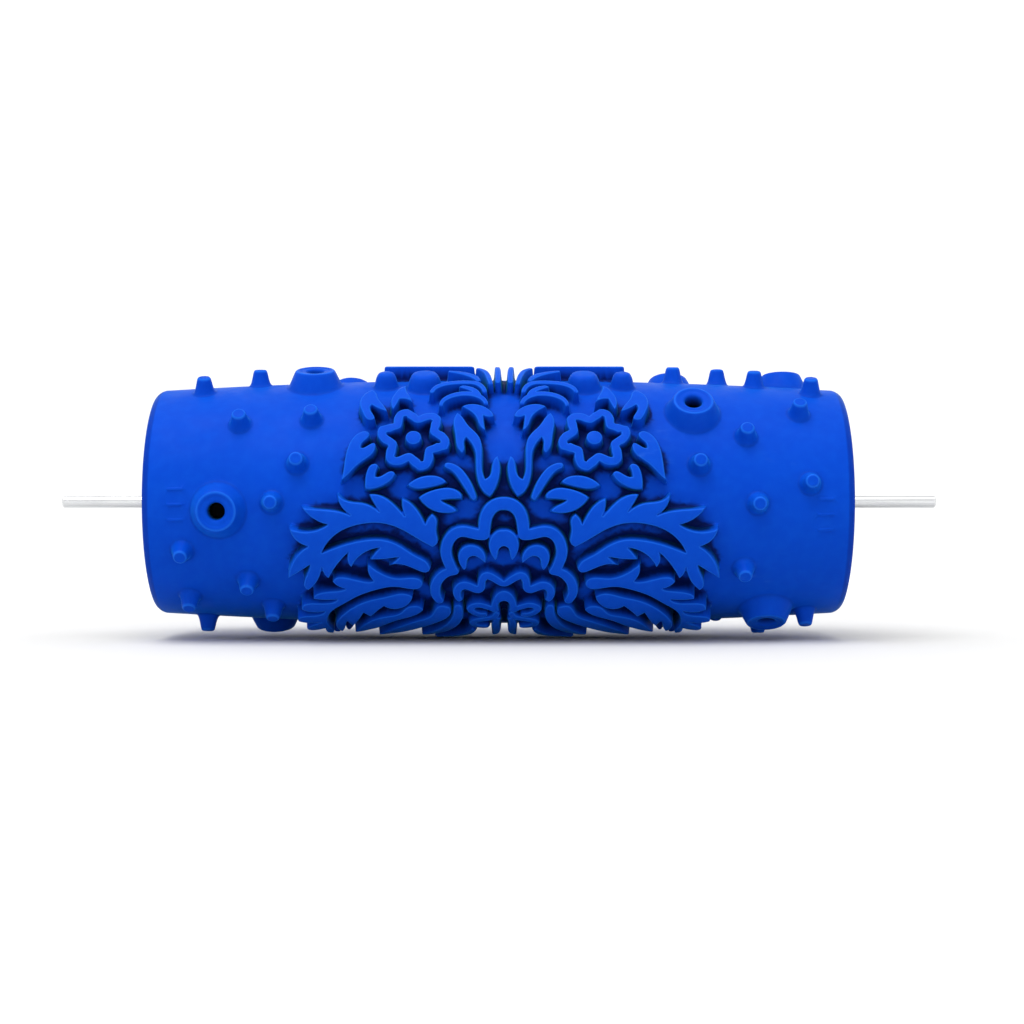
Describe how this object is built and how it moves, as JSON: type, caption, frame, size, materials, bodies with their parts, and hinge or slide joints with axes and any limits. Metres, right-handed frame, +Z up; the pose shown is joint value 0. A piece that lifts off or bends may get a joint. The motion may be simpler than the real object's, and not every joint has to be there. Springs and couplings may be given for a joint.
{
  "type": "textured pattern roller",
  "caption": "Wall-painting pattern roller: a blue rubber sleeve with a raised damask motif, nubs and cups, turning on a thin steel axle that sticks out at both ends.",
  "frame": {"origin": "on the axle's centreline at mid length of the rubber sleeve", "axes": "+X along the axle towards the right-hand tip, +Z up, the damask motif seen square on from -Y"},
  "size_m": [0.23, 0.0712, 0.0712],
  "materials": {
    "blue_rubber": "satin moulded rubber",
    "core_plastic": "extruded, matte",
    "plug_plastic": "moulded, fine grain",
    "nylon": "smooth, waxy",
    "bright_steel": "drawn bright rod",
    "spring_steel": "stamped, oiled"
  },
  "bodies": {
    "axle": {"axle_rod": "bright_steel", "thrust_washer_right": "bright_steel", "thrust_washer_left": "bright_steel", "retaining_clip_right": "spring_steel", "retaining_clip_left": "spring_steel"},
    "drum": {"pattern_sleeve": "blue_rubber", "core_tube": "core_plastic", "end_plug_right": "plug_plastic", "end_plug_left": "plug_plastic", "bush_right": "nylon", "bush_left": "nylon"}
  },
  "joints": [
    {"name": "drum_spin", "type": "hinge", "parent": "axle", "child": "drum", "pos_m": [0, 0, 0], "axis": [1, 0, 0], "continuous": true}
  ]
}
